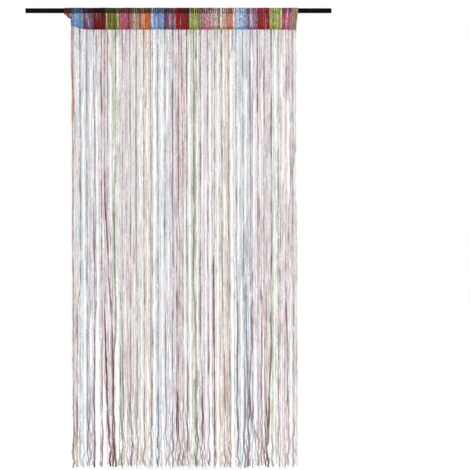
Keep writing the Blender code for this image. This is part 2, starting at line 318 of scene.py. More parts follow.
# Yarn colours: the knitted band, and the tinsel strings, which are greyer,
# with pale foil.
#            band yarn (sRGB)   string core     string foil      band yarn in it
YARN = {
    "turned": ((168, 80, 42), (178, 157, 149), (208, 186, 177), 0.6),
    "blue": ((92, 136, 184), (163, 170, 178), (194, 201, 210), 0.4),
    "purple": ((110, 62, 102), (170, 158, 168), (202, 188, 202), 0.8),
    "red": ((104, 8, 13), (174, 146, 150), (212, 174, 181), 1.0),
    "green": ((110, 116, 22), (165, 166, 142), (192, 195, 162), 0.9),
    "pink": ((170, 68, 99), (180, 157, 162), (214, 184, 190), 0.9),
    "beige": ((160, 132, 112), (174, 165, 158), (205, 195, 184), 1.0),
    "orange": ((188, 96, 35), (184, 165, 152), (216, 194, 176), 0.6),
}

# Strings that stand out and where they run: the colour that shows, how dark
# it is, and the route.
#    colour    dark   route: x mm, depth mm below the band
ROUTES = (
    ("turned", 0.34, ((4.0, 10.0), (5.0, 160.0), (8.0, 300.0), (8.0, 420.0))),
    ("turned", 0.30, ((13.0, 10.0), (13.5, 160.0), (16.0, 330.0))),
    ("red", 0.30, ((9.0, 620.0), (9.0, 1060.0))),
    ("orange", 0.34, ((11.0, 1120.0), (11.0, 1400.0))),
    ("red", 0.35, ((11.0, 1430.0), (12.0, 1700.0))),
    ("orange", 0.50, ((13.0, 1740.0), (12.0, 1870.0))),
    ("red", 0.25, ((27.0, 1250.0), (27.0, 1900.0))),
    ("blue", 0.35, ((70.0, 20.0), (70.0, 360.0))),
    ("purple", 0.50, ((101.0, 760.0), (104.0, 1100.0), (105.0, 1300.0))),
    ("purple", 0.58, ((104.0, 1320.0), (105.0, 1420.0), (101.0, 1640.0), (106.0, 1800.0), (102.0, 1935.0))),
    ("red", 0.55, ((133.0, 190.0), (136.0, 360.0))),
    ("red", 0.70, ((148.0, 640.0), (149.0, 760.0), (158.0, 880.0), (162.0, 980.0))),
    ("red", 0.88, ((148.0, 1250.0), (152.0, 1380.0), (158.0, 1550.0), (160.0, 1640.0), (164.0, 1730.0), (170.0, 1820.0), (174.0, 1880.0), (175.0, 1935.0))),
    ("red", 0.62, ((165.0, 1080.0), (176.0, 1200.0), (179.0, 1275.0))),
    ("red", 0.92, ((180.0, 1300.0), (182.0, 1380.0), (184.0, 1550.0), (184.0, 1820.0), (189.0, 1880.0), (189.0, 1938.0))),
    ("red", 0.66, ((188.0, 1450.0), (189.0, 1700.0), (194.0, 1830.0), (197.0, 1936.0))),
    ("red", 0.40, ((162.0, 20.0), (163.0, 480.0))),
    ("green", 0.42, ((185.0, 20.0), (186.0, 360.0))),
    ("green", 0.70, ((190.0, 760.0), (194.0, 1090.0))),
    ("green", 0.50, ((218.0, 1380.0), (219.0, 1560.0), (221.0, 1700.0), (226.0, 1800.0), (225.0, 1935.0))),
    ("purple", 0.45, ((253.0, 1640.0), (251.0, 1760.0))),
    ("red", 0.28, ((266.0, 1770.0), (272.0, 1830.0), (266.0, 1890.0), (270.0, 1935.0))),
    ("beige", 0.34, ((287.0, 240.0), (288.0, 980.0))),
    ("orange", 0.20, ((350.0, 20.0), (350.0, 320.0))),
    ("orange", 0.15, ((352.0, 870.0), (353.0, 1430.0))),
    ("orange", 0.38, ((354.0, 1650.0), (355.0, 1780.0), (354.0, 1935.0))),
    ("blue", 0.35, ((381.0, 280.0), (383.0, 520.0))),
    ("blue", 0.48, ((384.0, 1500.0), (386.0, 1690.0), (386.0, 1935.0))),
    ("purple", 0.45, ((448.0, 230.0), (448.0, 480.0), (448.0, 670.0), (449.0, 800.0))),
    ("red", 0.52, ((474.0, 270.0), (475.0, 790.0))),
    ("purple", 0.58, ((468.0, 1160.0), (468.0, 1500.0), (467.0, 1780.0))),
    ("red", 0.35, ((488.0, 60.0), (490.0, 280.0))),
    ("purple", 0.60, ((510.0, 60.0), (511.0, 330.0))),
    ("purple", 0.58, ((510.0, 760.0), (512.0, 960.0))),
    ("red", 0.40, ((514.0, 1640.0), (517.0, 1730.0), (512.0, 1830.0), (520.0, 1935.0))),
    ("red", 0.30, ((478.0, 1800.0), (484.0, 1850.0), (472.0, 1890.0), (484.0, 1938.0))),
    ("green", 0.52, ((543.0, 270.0), (543.0, 700.0), (541.0, 1110.0))),
    ("green", 0.52, ((556.0, 1480.0), (556.0, 1700.0), (559.0, 1820.0), (556.0, 1935.0))),
    ("purple", 0.48, ((570.0, 1050.0), (572.0, 1400.0))),
    ("beige", 0.50, ((604.0, 300.0), (603.0, 420.0))),
    ("purple", 0.64, ((630.0, 1020.0), (632.0, 1380.0), (635.0, 1650.0), (634.0, 1760.0))),
    ("red", 0.50, ((636.0, 1780.0), (637.0, 1935.0))),
    ("orange", 0.50, ((679.0, 1480.0), (680.0, 1905.0))),
    ("orange", 0.30, ((679.0, 120.0), (685.0, 360.0))),
    ("orange", 0.35, ((690.0, 980.0), (692.0, 1460.0), (691.0, 1600.0), (692.0, 1930.0))),
    ("green", 0.30, ((695.0, 560.0), (696.0, 860.0))),
    ("purple", 0.43, ((735.0, 1200.0), (737.0, 1290.0), (733.0, 1650.0), (737.0, 1710.0), (740.0, 1935.0))),
    ("blue", 0.20, ((745.0, 40.0), (746.0, 900.0))),
    ("blue", 0.76, ((772.0, 1130.0), (775.0, 1400.0), (780.0, 1510.0), (784.0, 1600.0))),
    ("purple", 0.52, ((784.0, 1620.0), (791.0, 1690.0), (782.0, 1755.0), (787.0, 1850.0), (783.0, 1935.0))),
    ("purple", 0.45, ((768.0, 1560.0), (770.0, 1700.0), (764.0, 1800.0), (770.0, 1935.0))),
    ("purple", 0.62, ((796.0, 1220.0), (797.0, 1380.0))),
    ("purple", 0.50, ((789.0, 140.0), (791.0, 410.0))),
    ("red", 0.55, ((822.0, 20.0), (823.0, 360.0))),
    ("red", 0.50, ((852.0, 120.0), (853.0, 420.0))),
    ("purple", 0.50, ((842.0, 1240.0), (842.0, 1400.0), (840.0, 1560.0), (840.0, 1800.0))),
    ("beige", 0.76, ((886.0, 1400.0), (878.0, 1540.0), (875.0, 1700.0), (871.0, 1800.0), (864.0, 1850.0), (869.0, 1930.0))),
    ("purple", 0.50, ((950.0, 160.0), (950.0, 290.0))),
    ("purple", 0.68, ((949.0, 1200.0), (957.0, 1400.0), (958.0, 1640.0))),
)
ROUTE_EASE = 130.0               # mm over which a string leaves its place for a route

# Loose threads that leave their place near the foot and cross to a neighbour.
#    colour    route: x mm, depth mm
STRAYS = (
    ("purple", ((787.0, 1560.0), (793.0, 1650.0), (799.0, 1729.0), (812.0, 1773.0),
              (828.0, 1804.0), (842.0, 1822.0), (848.0, 1850.0), (856.0, 1890.0), (861.0, 1926.0))),
    ("blue", ((806.0, 1640.0), (809.0, 1750.0), (813.0, 1810.0), (822.0, 1870.0), (827.0, 1930.0))),
    ("green", ((862.0, 1660.0), (865.0, 1740.0), (861.0, 1795.0), (852.0, 1818.0),
               (845.0, 1826.0), (850.0, 1852.0), (868.0, 1880.0), (872.0, 1931.0))),
    ("red", ((506.0, 1690.0), (513.0, 1750.0), (522.0, 1795.0), (520.0, 1850.0), (531.0, 1893.0))),
    ("red", ((470.0, 1600.0), (474.0, 1780.0), (466.0, 1840.0), (474.0, 1880.0), (486.0, 1905.0), (488.0, 1928.0))),
    ("purple", ((262.0, 1610.0), (259.0, 1700.0), (268.0, 1790.0), (277.0, 1850.0), (266.0, 1905.0), (270.0, 1930.0))),
    ("red", ((556.0, 1700.0), (558.0, 1765.0), (564.0, 1805.0), (574.0, 1870.0), (584.0, 1928.0))),
)


# ------------------------------------------------------------------- helpers
def chance(i, k):
    """A fixed number from 0 to 1 for string i and use k."""
    s = math.sin(i * 12.9898 + k * 78.233 + 4.7) * 43758.5453
    return s - math.floor(s)


def signed(i, k):
    return 2.0 * chance(i, k) - 1.0


def chances(i, k, n):
    """n fixed numbers from 0 to 1 for string i and use k."""
    s = np.sin(np.arange(n) * 7.3191 + i * 12.9898 + k * 78.233 + 1.3) * 43758.5453
    return s - np.floor(s)


def ease(t):
    t = np.clip(t, 0.0, 1.0)
    return t * t * (3.0 - 2.0 * t)


def waves(u, rows):
    """Sum of sines: each row is wavelength, phase and height."""
    total = 0.0
    for w, p, h in rows:
        total = total + h * np.sin(2.0 * math.pi * u / w + p)
    return total


def drift(u, i, k, longest, count=4):
    """Smooth wandering number of about -1 to 1 along u, its own for string i."""
    total, height, norm = 0.0, 1.0, 0.0
    for n in range(count):
        w = longest * (0.62 ** n) * (0.8 + 0.4 * chance(i, k + 10 * n + 1))
        total = total + height * np.sin(2.0 * math.pi * (u / w + chance(i, k + 10 * n + 2)))
        norm += height
        height *= 0.72
    return total / norm * 1.5


def linear(rgb):
    c = np.array(rgb, dtype=float) / 255.0
    return np.where(c <= 0.04045, c / 12.92, ((c + 0.055) / 1.055) ** 2.4)


def stripe_at(mm):
    """The colour stripe that covers a place across the band, in mm."""
    found = STRIPES[1] if mm >= 0.0 else STRIPES[0]
    for row in STRIPES[1:]:
        if mm >= row[1] or row is STRIPES[1]:
            found = row
    return found if mm >= 0.0 else STRIPES[0]


def stripes_along(x_mm, depth_mm):
    """Number of the stripe whose colour a string has, by place and depth."""
    shifts = np.array([np.interp(depth_mm, SHIFT_AT, row) for row in SHIFTS])
    found = np.zeros(len(x_mm), dtype=int)
    for k in range(1, len(STRIPES)):
        edge = STRIPES[k][1] + 0.5 * (shifts[k - 1] + shifts[k])
        found[x_mm >= edge] = k
    return found


def softened(values, reach):
    """Rows averaged with their neighbours, reach rows either way."""
    padded = np.concatenate([np.repeat(values[:1], reach, 0), values, np.repeat(values[-1:], reach, 0)])
    total = np.cumsum(np.concatenate([np.zeros_like(padded[:1]), padded]), axis=0)
    size = 2 * reach + 1
    return (total[size:] - total[:-size]) / size


class Strands:
    """Many closed tubes and flakes in one mesh, each vertex with its own tint."""

    def __init__(self):
        self.points, self.tints, self.faces = [], [], {3: [], 4: []}
        self.slots = {3: [], 4: []}
        self.count = 0

    def _faces(self, faces, slot):
        size = faces.shape[1]
        self.faces[size].append(faces)
        self.slots[size].append(np.full(len(faces), slot))

    def _points(self, points, tints):
        start = self.count
        self.points.append(points)
        self.tints.append(tints)
        self.count += len(points)
        return start

    def tube(self, rings, tint, slot=0):
        """rings is (n, 4, 3), turning anticlockwise about the way it runs."""
        n, k, _ = rings.shape
        tint = np.broadcast_to(tint, (n, 3))
        start = self._points(rings.reshape(-1, 3), np.repeat(tint, k, axis=0))
        i = np.arange(n - 1)[:, None] * k
        j = np.arange(k)[None, :]
        a, b = start + i + j, start + i + (j + 1) % k
        self._faces(np.stack([a, b, b + k, a + k], -1).reshape(-1, 4), slot)
        ends = np.arange(k)
        self._faces(np.array([start + ends[::-1], start + (n - 1) * k + ends]), slot)

    def loop(self, rings, tint, slot=0):
        """A tube whose last ring joins its first."""
        n, k, _ = rings.shape
        tint = np.broadcast_to(tint, (n, 3))
        start = self._points(rings.reshape(-1, 3), np.repeat(tint, k, axis=0))
        i = np.arange(n)[:, None] * k
        j = np.arange(k)[None, :]
        a, b = i + j, i + (j + 1) % k
        faces = np.stack([a, b, (b + k) % (n * k), (a + k) % (n * k)], -1)
        self._faces(start + faces.reshape(-1, 4), slot)

    def kites(self, root, left, right, tip, rise, tint, slot=1):
        """Kite-shaped flakes folded from root to tip, four faces each."""
        root, tip = root + rise, tip + rise
        turned = np.einsum("ij,ij->i", np.cross(left - root, right - root), tip - root) > 0.0
        one = np.where(turned[:, None], right, left)
        two = np.where(turned[:, None], left, right)
        corners = np.stack([root, one, two, tip], 1)
        start = self._points(corners.reshape(-1, 3), np.repeat(tint, 4, axis=0))
        base = start + 4 * np.arange(len(root))[:, None, None]
        pattern = np.array([[0, 1, 2], [0, 2, 3], [0, 3, 1], [1, 3, 2]])
        self._faces((base + pattern[None]).reshape(-1, 3), slot)

    def build(self, name, materials):
        mesh = bpy.data.meshes.new(name)
        points = np.concatenate(self.points).astype(np.float32)
        tints = np.concatenate(self.tints).astype(np.float32)
        groups = [(size, np.concatenate(self.faces[size])) for size in (3, 4) if self.faces[size]]
        slots = np.concatenate([np.concatenate(self.slots[size]) for size, _ in groups])
        loops = np.concatenate([g.ravel() for _, g in groups]).astype(np.int32)
        totals = np.concatenate([np.full(len(g), size) for size, g in groups]).astype(np.int32)
        mesh.vertices.add(len(points))
        mesh.vertices.foreach_set("co", points.ravel())
        mesh.loops.add(len(loops))
        mesh.loops.foreach_set("vertex_index", loops)
        mesh.polygons.add(len(totals))
        mesh.polygons.foreach_set("loop_start", np.cumsum(totals) - totals)
        mesh.update(calc_edges=True)
        mesh.validate()
        for mat in materials:
            mesh.materials.append(mat)
        mesh.polygons.foreach_set("material_index", slots.astype(np.int32))
        layer = mesh.color_attributes.new("tint", "FLOAT_COLOR", "POINT")
        rgba = np.ones((len(points), 4), dtype=np.float32)
        rgba[:, :3] = tints
        layer.data.foreach_set("color", rgba.ravel())
        obj = bpy.data.objects.new(name, mesh)
        bpy.context.scene.collection.objects.link(obj)
        return obj


def unit(v):
    return v / np.linalg.norm(v, axis=-1, keepdims=True)


def frames(path):
    """Way along the path, then the way across and the way out of the face."""
    along = unit(np.gradient(path, axis=0))
    x = np.array([1.0, 0.0, 0.0])
    across = unit(x - (along @ x)[:, None] * along)
    return along, across, np.cross(along, across)


def round_rings(path, radius, sides=3):
    """Rings of a thin round yarn along a path."""
    along, across, out = frames(path)
    angle = 2.0 * math.pi * np.arange(sides) / sides
    ring = (across[:, None] * np.cos(angle)[None, :, None]
            + out[:, None] * np.sin(angle)[None, :, None])
    return path[:, None] + ring * radius


def ribbon_rings(path, half, thin, turn, side=0.0):
    """Four-cornered rings along a path; turn is the twist in radians."""
    along, across, out = frames(path)
    c, s = np.cos(turn)[:, None], np.sin(turn)[:, None]
    wide, deep = across * c + out * s, out * c - across * s
    centre = path + wide * np.broadcast_to(side, len(path))[:, None]
    half = np.broadcast_to(half, len(path))[:, None]
    thin = np.broadcast_to(thin, len(path))[:, None]
    rings = np.stack([centre + wide * half, centre + deep * thin,
                      centre - wide * half, centre - deep * thin], 1)
    return rings, centre, wide, deep, along


# ---------------------------------------------------------------- materials
def new_material(name):
    mat = bpy.data.materials.new(name)
    mat.use_nodes = True
    nodes, links = mat.node_tree.nodes, mat.node_tree.links
    return mat, nodes, links, nodes["Principled BSDF"]


def noise(nodes, links, scale, detail=2.0, roughness=0.5, stretch=None):
    coords = nodes.new("ShaderNodeTexCoord")
    tex = nodes.new("ShaderNodeTexNoise")
    tex.inputs["Scale"].default_value = scale
    tex.inputs["Detail"].default_value = detail
    tex.inputs["Roughness"].default_value = roughness
    source = coords.outputs["Object"]
    if stretch:
        mapping = nodes.new("ShaderNodeMapping")
        mapping.inputs["Scale"].default_value = stretch
        links.new(source, mapping.inputs["Vector"])
        source = mapping.outputs["Vector"]
    links.new(source, tex.inputs["Vector"])
    return tex


def ramp(nodes, links, source, stops):
    node = nodes.new("ShaderNodeValToRGB")
    while len(node.color_ramp.elements) < len(stops):
        node.color_ramp.elements.new(0.5)
    for element, (place, value) in zip(node.color_ramp.elements, stops):
        element.position = place
        element.color = (value, value, value, 1.0) if isinstance(value, float) else (*value, 1.0)
    links.new(source, node.inputs["Fac"])
    return node


def mix(nodes, links, kind, factor, a, b):
    node = nodes.new("ShaderNodeMix")
    node.data_type = "RGBA"
    node.blend_type = kind
    if isinstance(factor, float):
        node.inputs["Factor"].default_value = factor
    else:
        links.new(factor, node.inputs["Factor"])
    for socket, value in ((node.inputs[6], a), (node.inputs[7], b)):
        if isinstance(value, tuple):
            socket.default_value = value
        else:
            links.new(value, socket)
    return node.outputs[2]


def yarn_material(name, metallic, roughness, grain, foil, bump):
    """Tinted yarn: fibres lighter and darker, with flecks of bright foil whose near-white colour is a painted glint.
    """
    mat, nodes, links, shader = new_material(name)
    tint = nodes.new("ShaderNodeVertexColor")
    tint.layer_name = "tint"
    fibres = noise(nodes, links, grain, 3.0, 0.6, (1.0, 1.0, 0.35))
    tone = ramp(nodes, links, fibres.outputs["Fac"], ((0.30, 0.62), (0.52, 1.0), (0.74, 1.30)))
    colour = mix(nodes, links, "MULTIPLY", 1.0, tint.outputs["Color"], tone.outputs["Color"])
    # foil flecks mixed towards near white: painted glints, also smoother
    flecks = noise(nodes, links, grain * 0.55, 1.0, 0.4)
    painted_glint = ramp(nodes, links, flecks.outputs["Fac"], ((0.56, 0.0), (0.66, foil)))
    colour = mix(nodes, links, "MIX", painted_glint.outputs["Color"], colour, (0.90, 0.88, 0.90, 1.0))
    links.new(colour, shader.inputs["Base Color"])
    rough = ramp(nodes, links, flecks.outputs["Fac"], ((0.35, roughness + 0.12), (0.65, roughness - 0.12)))
    links.new(rough.outputs["Color"], shader.inputs["Roughness"])
    shader.inputs["Metallic"].default_value = metallic
    shader.inputs["Specular IOR Level"].default_value = 0.10
    height = noise(nodes, links, grain * 1.6, 2.0, 0.6)
    node = nodes.new("ShaderNodeBump")
    node.inputs["Strength"].default_value = bump
    node.inputs["Distance"].default_value = 0.0005
    links.new(height.outputs["Fac"], node.inputs["Height"])
    links.new(node.outputs["Normal"], shader.inputs["Normal"])
    return mat


def flake_material():
    """Sequin film: bright, hard, half clear and a little tinted by its string."""
    mat, nodes, links, shader = new_material("sequin_foil")
    tint = nodes.new("ShaderNodeVertexColor")
    tint.layer_name = "tint"
    shimmer = noise(nodes, links, 260.0, 1.0, 0.4)
    tone = ramp(nodes, links, shimmer.outputs["Fac"], ((0.35, (0.80, 0.90, 1.0)), (0.5, (1.0, 1.0, 1.0)), (0.65, (1.0, 0.86, 0.90))))
    colour = mix(nodes, links, "MULTIPLY", 0.6, tint.outputs["Color"], tone.outputs["Color"])
    links.new(colour, shader.inputs["Base Color"])
    shader.inputs["Metallic"].default_value = 0.35
    shader.inputs["Alpha"].default_value = FILM_STOPS
    rough = ramp(nodes, links, shimmer.outputs["Fac"], ((0.3, 0.18), (0.7, 0.38)))
    links.new(rough.outputs["Color"], shader.inputs["Roughness"])
    return mat


def rod_material():
    """Black enamel on a steel tube: fine orange-peel and a few dull patches."""
    mat, nodes, links, shader = new_material("rod_enamel")
    patches = noise(nodes, links, 22.0, 4.0, 0.6)
    tone = ramp(nodes, links, patches.outputs["Fac"], ((0.3, (0.001, 0.001, 0.001)), (0.7, (0.003, 0.003, 0.003))))
    links.new(tone.outputs["Color"], shader.inputs["Base Color"])
    rough = ramp(nodes, links, patches.outputs["Fac"], ((0.3, 0.38), (0.7, 0.52)))
    links.new(rough.outputs["Color"], shader.inputs["Roughness"])
    shader.inputs["Specular IOR Level"].default_value = 0.04
    peel = noise(nodes, links, 900.0, 2.0, 0.5)
    node = nodes.new("ShaderNodeBump")
    node.inputs["Strength"].default_value = 0.12
    node.inputs["Distance"].default_value = 0.0002
    links.new(peel.outputs["Fac"], node.inputs["Height"])
    links.new(node.outputs["Normal"], shader.inputs["Normal"])
    return mat


def floor_material():
    mat, nodes, links, shader = new_material("pale_floor")
    patches = noise(nodes, links, 1.5, 2.0, 0.5)
    tone = ramp(nodes, links, patches.outputs["Fac"], ((0.3, 0.93), (0.7, 0.96)))
    links.new(tone.outputs["Color"], shader.inputs["Base Color"])
    shader.inputs["Roughness"].default_value = 0.9
    shader.inputs["Specular IOR Level"].default_value = 0.1
    return mat


# --------------------------------------------------------------- string runs
def string_courses(depth):
    """Sideways place of every string, by depth below the band in metres."""
    at = depth / MM
    down = depth / STRING_DROP
    sway = SWAY_TOP + (SWAY_FOOT - SWAY_TOP) * down
    places = []
    for row in STRINGS:
        for spots in (row[:3], row[3:6]):
            i = len(places)
            hang = softened(np.interp(at, PLACE_AT, spots), 20) * MM
            wander = waves(depth, (
                (0.95 + 0.5 * chance(i, 1), 6.28 * chance(i, 2), 0.62 * sway),
                (0.42 + 0.2 * chance(i, 3), 6.28 * chance(i, 4), 0.38 * sway),
            )) * ease(down * 8.0)
            places.append(BAND_LEFT + hang + 0.5 * MM * (1.0 + signed(i, 7)) + wander)
    return np.stack(places)


def bow(x, depth):
    return BOW * ease(depth / STRING_DROP) * waves(x, ((0.37, 0.5, 0.55), (0.141, 1.9, 0.45)))


def window(depth_mm, top, foot, soft=45.0):
    return ease((depth_mm - top + soft) / (2.0 * soft)) * (1.0 - ease((depth_mm - foot + soft) / (2.0 * soft)))


def slot_middle(row, depth_mm):
    """Middle of a clear slot, which wanders a little on its way down."""
    return np.interp(depth_mm, (row[3], row[4]), row[:2]) + 1.0 * drift(depth_mm, row[0], 301, 260.0, 3)


def kept_out(x_mm, depth_mm, margin):
    """A string at x_mm moved beside the clear slots it would hang in."""
    for row in CLEAR:
        near = window(depth_mm, row[3], row[4])
        if near.max() <= 0.0:
            continue
        off = x_mm - slot_middle(row, depth_mm)
        side = 1.0 if (off * near).sum() > 0.0 else -1.0
        lack = np.maximum(0.0, 0.5 * row[2] + margin - side * off)
        x_mm = x_mm + side * lack * near * (1.0 - ease((lack - row[2] - 4.0) / 10.0))
    return x_mm


def stripe_looks(found, depth_mm, first):
    """A string's numbers from LIVELY (first 0 colour, 3 clear) by depth."""
    looks = np.array([np.interp(depth_mm, LIVELY_AT, row[first:first + 3]) for row in LIVELY])
    return softened(looks[found, np.arange(len(found))], 5)


def paleness(x_mm, depth_mm):
    """How clear the foil is round a place, up to 1, and dull below 0: clearest
    beside the slots, and in long patches that neighbouring strings share."""
    field = 0.0
    for k, wide in enumerate((21.0, 29.0, 41.0, 63.0, 97.0)):
        slide = 0.45 * drift(depth_mm, k, 251, 700.0, 3)
        field = field + math.sqrt(wide / 97.0) * np.sin(2.0 * math.pi * (x_mm / wide + slide + chance(k, 257)))
    slots = np.zeros_like(x_mm)
    for row in CLEAR:
        off = (x_mm - slot_middle(row, depth_mm)) / (7.0 + 0.5 * row[2])
        slots = np.maximum(slots, window(depth_mm, row[3], row[4]) * np.exp(-off * off))
    stripe = stripe_looks(stripes_along(x_mm, depth_mm), depth_mm, 3)
    return np.clip(0.40 + 0.40 * field + 0.62 * slots + stripe, -0.5, 0.96)


def room_beside(x_mm, other_mm, depth_mm, side):
    """How far foil may stand out from a string to one side, in mm."""
    apart = np.abs(other_mm - x_mm)
    room = 0.50 * apart
    for row in CLEAR:
        near = window(depth_mm, row[3], row[4])
        off = side * (slot_middle(row, depth_mm) - x_mm)
        ahead = (off > 0.0) & (off < apart + 2.0)
        wide = row[2] * (0.75 + 0.45 * drift(depth_mm, row[0] + side, 305, 190.0, 4))
        edge = np.maximum(1.0, off - 0.5 * wide)
        room = np.where(ahead, room - near * np.maximum(0.0, room - edge), room)
    return np.clip(room, 1.0, 7.0)


def spaced(places, pitch):
    """Strings by depths: moved apart where two would lie in one another."""
    places = places.copy()
    for _ in range(40):
        for k in range(len(places) - 1):
            lack = np.maximum(0.0, pitch - (places[k + 1] - places[k])) / 2.0
            places[k] -= lack
            places[k + 1] += lack
    return places


def curl(i, depth, size):
    """Waves and kinks that grow in the lowest part of a string."""
    foot = 0.25 * ease((depth - 1.20) / 0.40) + 0.75 * ease((depth - 1.60) / 0.28)
    tip = ease((depth - 1.74) / 0.18)
    return size * (foot * drift(depth, i, 21, 0.19, 3) * 2.2 * MM
                   + tip * drift(depth, i, 61, 0.10, 3) * 2.3 * MM)


def routed(places, depth):
    """Strings drawn on to their routes; also what shows on each, by depth."""
    places, shown = places.copy(), {}
    taken = np.zeros_like(places, dtype=bool)
    depth_mm = depth / MM
    for colour, dark, route in ROUTES:
        x = BAND_LEFT + np.interp(depth_mm, [r[1] for r in route], [r[0] for r in route]) * MM
        top, bottom = route[0][1], route[-1][1]
        on = (depth_mm >= top - 20.0) & (depth_mm <= bottom + 20.0)
        far = np.abs(places[:, on] - x[on]).mean(axis=1) + 9.0 * taken[:, on].any(axis=1)
        i = int(far.argmin())
        taken[i] |= on
        pull = (ease((depth_mm - top + ROUTE_EASE) / ROUTE_EASE)
                * (1.0 - ease((depth_mm - bottom) / ROUTE_EASE)))
        places[i] += (x - places[i]) * pull
        colour_in = (ease((depth_mm - top + 25.0) / 40.0)
                     * (1.0 - ease((depth_mm - bottom + 15.0) / 40.0))
                     * np.clip(0.92 + 0.30 * drift(depth_mm, i, 281, 75.0, 4), 0.45, 1.0))
        shown.setdefault(i, []).append((colour, dark, colour_in))
    for i in range(len(places)):
        places[i] = BAND_LEFT + kept_out((places[i] - BAND_LEFT) / MM, depth_mm, 2.0) * MM
    return places, shown


def pale_courses(places, depth):
    """The paler strings that hang in the middle of each space."""
    found = []
    for k in range(len(places) - 1):
        if (places[k + 1] - places[k]).mean() < 10.0 * MM:
            continue
        share = 0.5 + 0.10 * signed(k, 201)
        x = places[k] * (1.0 - share) + places[k + 1] * share
        x = x + ease(depth / 0.6) * drift(depth, k, 205, 0.7, 3) * 1.4 * MM
        x = BAND_LEFT + kept_out((x - BAND_LEFT) / MM, depth / MM, 2.0) * MM
        found.append((k, np.clip(x, places[k] + 2.4 * MM, places[k + 1] - 2.4 * MM)))
    return found


def shades(i, x_mm, depth_mm, marks, kind, heavy):
    """Tint of a string and of its foil: the yarn colours it runs through,
    lighter and darker by stretches, with what shows on its routes."""
    beside = x_mm + 3.5 * signed(i, 33) + 5.0 * drift(depth_mm, i, 35, 500.0, 3)
    found = stripes_along(beside, depth_mm)
    vivid, base, foil = (softened(np.array([linear(YARN[row[0]][k]) for row in STRIPES])[found], 5)
                         for k in range(3))
    share = softened(np.array([YARN[row[0]][3] for row in STRIPES])[found], 5)
    foot = ease((depth_mm - 1250.0) / 500.0)
    strong = np.interp(depth_mm, (0.0, 250.0, 700.0, 1000.0, 1600.0, 1940.0), (1.45, 1.26, 1.28, 1.44, 1.64, 1.85))
    strong = (strong * stripe_looks(found, depth_mm, 0))[:, None]
    warm = drift(depth_mm, i, 261, 300.0, 4)[:, None] * np.array([[1.0, -0.2, -0.8]])
    rosy = drift(depth_mm, i, 271, 210.0, 4)[:, None] * np.array([[0.5, -1.0, 0.5]])
    hue = 1.0 + 0.095 * warm + 0.070 * rosy
    grey = base.mean(axis=1, keepdims=True)
    base = (grey + (base - grey) * strong) * hue
    lively = 0.5 + 0.5 * np.clip(drift(depth_mm, i, 31, 620.0, 4), -1.0, 1.0)
    mixed = (0.02 + (0.12 + 0.12 * foot) * lively + 0.10 * foot
             + 0.32 * (1.0 - ease(depth_mm / 130.0)) + 0.40 * (1.0 - ease(depth_mm / 45.0)))[:, None] * share[:, None] * np.minimum(strong, 1.3)
    start = base * (1.0 - mixed) + vivid * mixed
    fall = np.interp(depth_mm, (0.0, 60.0, 250.0, 1200.0, 1600.0, 1940.0), (0.78, 0.94, 1.16, 1.06, 0.90, 0.82))
    patch = np.tanh(3.0 * drift(depth_mm, i, 45, 120.0, 3))
    patchy = np.interp(depth_mm, (0.0, 700.0, 1350.0, 1600.0), (0.22, 0.27, 0.27, 0.06))
    light = np.exp(0.36 * drift(depth_mm, i, 41, 520.0, 4) + patchy * patch)
    light = np.clip(light * heavy ** -0.5 * fall * (0.84, 1.04, 1.38)[kind], 0.30, 2.0)[:, None]
    tint = start * light * 1.10
    foil = foil * (0.85 + 0.15 * np.clip(light, 0.5, 1.6))
    vivid = np.clip(0.80 + 0.62 * drift(depth_mm, i, 241, 480.0, 4) + 0.25 * signed(i, 245), 0.1, 1.9)[:, None]
    grey = foil.mean(axis=1, keepdims=True)
    foil = (grey + (foil - grey) * vivid * strong) * hue
    for colour, dark, near in marks:
        near, dark = (0.90 * near)[:, None], dark ** 1.25
        deep = linear(YARN[colour][1]) * (1.0 - dark) ** 1.3 + linear(YARN[colour][0]) * 0.75 * dark
        pale = linear(YARN[colour][2]) * (1.0 - 0.9 * dark * dark) + linear(YARN[colour][0]) * 0.6 * dark * dark
        tint = tint * (1.0 - near) + deep * near
        foil = foil * (1.0 - near) + pale * near
    return tint, foil


def band_depth(x):
    rows = [(BAND_LEFT + mm * MM, depth * MM) for mm, depth in TURNED_END]
    full = BAND_DEPTH + waves(x, ((0.43, 0.6, 0.5 * MM), (0.171, 2.0, 0.3 * MM)))
    if x >= rows[-1][0]:
        return rows[-1][1] + (full - rows[-1][1]) * ease((x - rows[-1][0]) / 0.04)
    for (x0, d0), (x1, d1) in zip(rows, rows[1:]):
        if x <= x1:
            return d0 + (d1 - d0) * max(0.0, (x - x0) / (x1 - x0))
    return full


